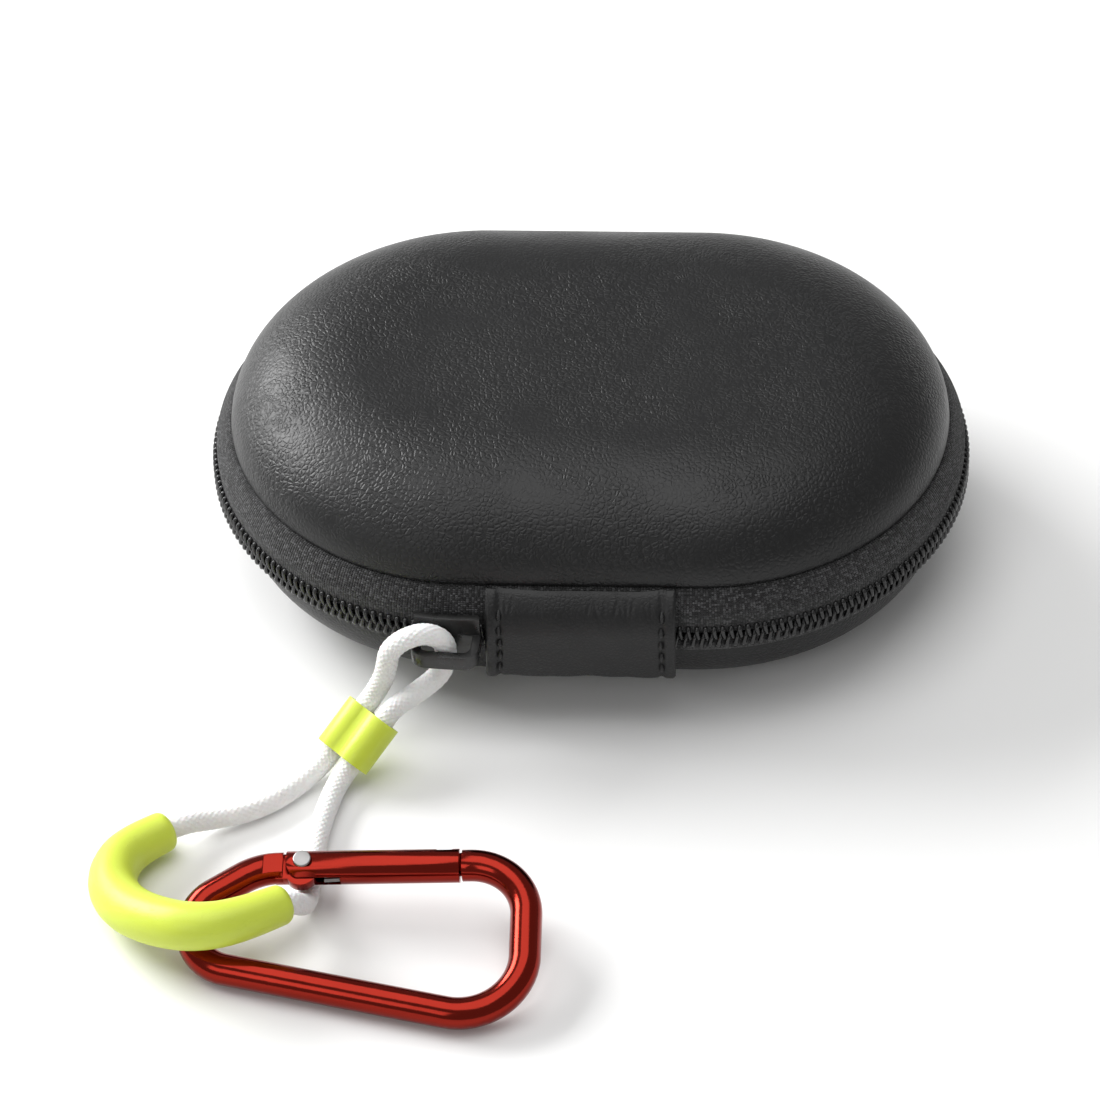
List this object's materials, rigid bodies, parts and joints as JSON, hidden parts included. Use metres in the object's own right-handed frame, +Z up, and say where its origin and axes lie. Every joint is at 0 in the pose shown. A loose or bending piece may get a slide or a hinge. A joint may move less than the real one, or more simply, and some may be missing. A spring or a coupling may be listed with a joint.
{
  "type": "zip-round hard-shell pouch with lanyard",
  "caption": "Oval hard-shell pouch in black pebble-grain leather with an all-round zip, a white cord with a lime grip and bead, and a red clip.",
  "frame": {"origin": "middle of the flat rest face under the case, on the table", "axes": "+X along the case, from the zip pull's end to the other; +Y from the hinge patch side to the far side; +Z up through the lid"},
  "size_m": [0.1272, 0.1453, 0.037],
  "materials": {
    "leather_black": "fine pebble grain, low sheen",
    "leather_tab": "smoother, slightly glossy",
    "shell_foam": "moulded foam board, matt",
    "lining_fabric": "brushed knit, matt",
    "zip_tape": "woven, speckled dark grey",
    "zip_nylon": "glossy black",
    "thread_black": "twisted thread, low sheen",
    "net_black": "open knit",
    "elastic_black": "ribbed elastic",
    "slider_enamel": "glossy black enamel",
    "cord_white": "fine braid, matt",
    "lime_plastic": "satin",
    "lime_rubber": "satin, moulded",
    "red_anodised": "red anodised, polished",
    "bare_steel": "plain, lightly brushed"
  },
  "bodies": {
    "case_base": {"lower_cover": "leather_black", "lower_shell": "shell_foam", "lower_lining": "lining_fabric", "lower_zip_tape": "zip_tape", "lower_zip_coil": "zip_nylon", "zip_end_stops": "zip_nylon", "lower_rim_binding": "lining_fabric", "hinge_tab": "leather_tab", "tab_stitching": "thread_black", "hinge_strip": "lining_fabric"},
    "lid": {"upper_cover": "leather_black", "upper_shell": "shell_foam", "upper_lining": "lining_fabric", "upper_zip_tape": "zip_tape", "upper_zip_coil": "zip_nylon", "upper_rim_binding": "lining_fabric", "pocket_net": "net_black", "pocket_elastic": "elastic_black"},
    "zip_slider": {"slider_body": "slider_enamel"},
    "lanyard": {"lanyard_cord": "cord_white", "lanyard_grip": "lime_rubber"},
    "bead": {"cord_bead": "lime_plastic"},
    "carabiner": {"carabiner_body": "red_anodised", "gate_rivet": "bare_steel"},
    "gate": {"carabiner_gate": "red_anodised", "gate_spring": "bare_steel"}
  },
  "joints": [
    {"name": "zip_travel", "type": "hinge", "parent": "case_base", "child": "zip_slider", "pos_m": [-0.0165, 0, 0.0185], "axis": [0, 0, -1], "range_deg": [0, 160]},
    {"name": "lid_hinge", "type": "hinge", "parent": "case_base", "child": "lid", "pos_m": [0, -0.0413, 0.0185], "axis": [1, 0, 0], "range_deg": [0, 110], "deforming": ["hinge_tab", "tab_stitching", "hinge_strip"]},
    {"name": "lanyard_swing", "type": "hinge", "parent": "zip_slider", "child": "lanyard", "pos_m": [-0.01967, -0.04474, 0.018], "axis": [0, 0, 1], "range_deg": [0, 55]},
    {"name": "bead_slide", "type": "slide", "parent": "lanyard", "child": "bead", "axis": [0.5857, 0.5857, 0.5602], "range_m": [-0.0012, 0.0012]},
    {"name": "carabiner_swing", "type": "hinge", "parent": "lanyard", "child": "carabiner", "pos_m": [-0.054, -0.0924, 0.0091], "axis": [0.9778, -0.1397, 0.1561], "range_deg": [0, 30]},
    {"name": "gate_pivot", "type": "hinge", "parent": "carabiner", "child": "gate", "pos_m": [-0.0385, -0.07865, 0.0069], "axis": [0.0534, 0.2349, -0.9706], "range_deg": [0, 25], "stiffness_Nm_per_rad": 0.05, "springref_deg": -11.46}
  ],
  "couplings": [
    {"joint": "lid_hinge", "follows": "zip_travel", "ratio": 0.6875}
  ]
}
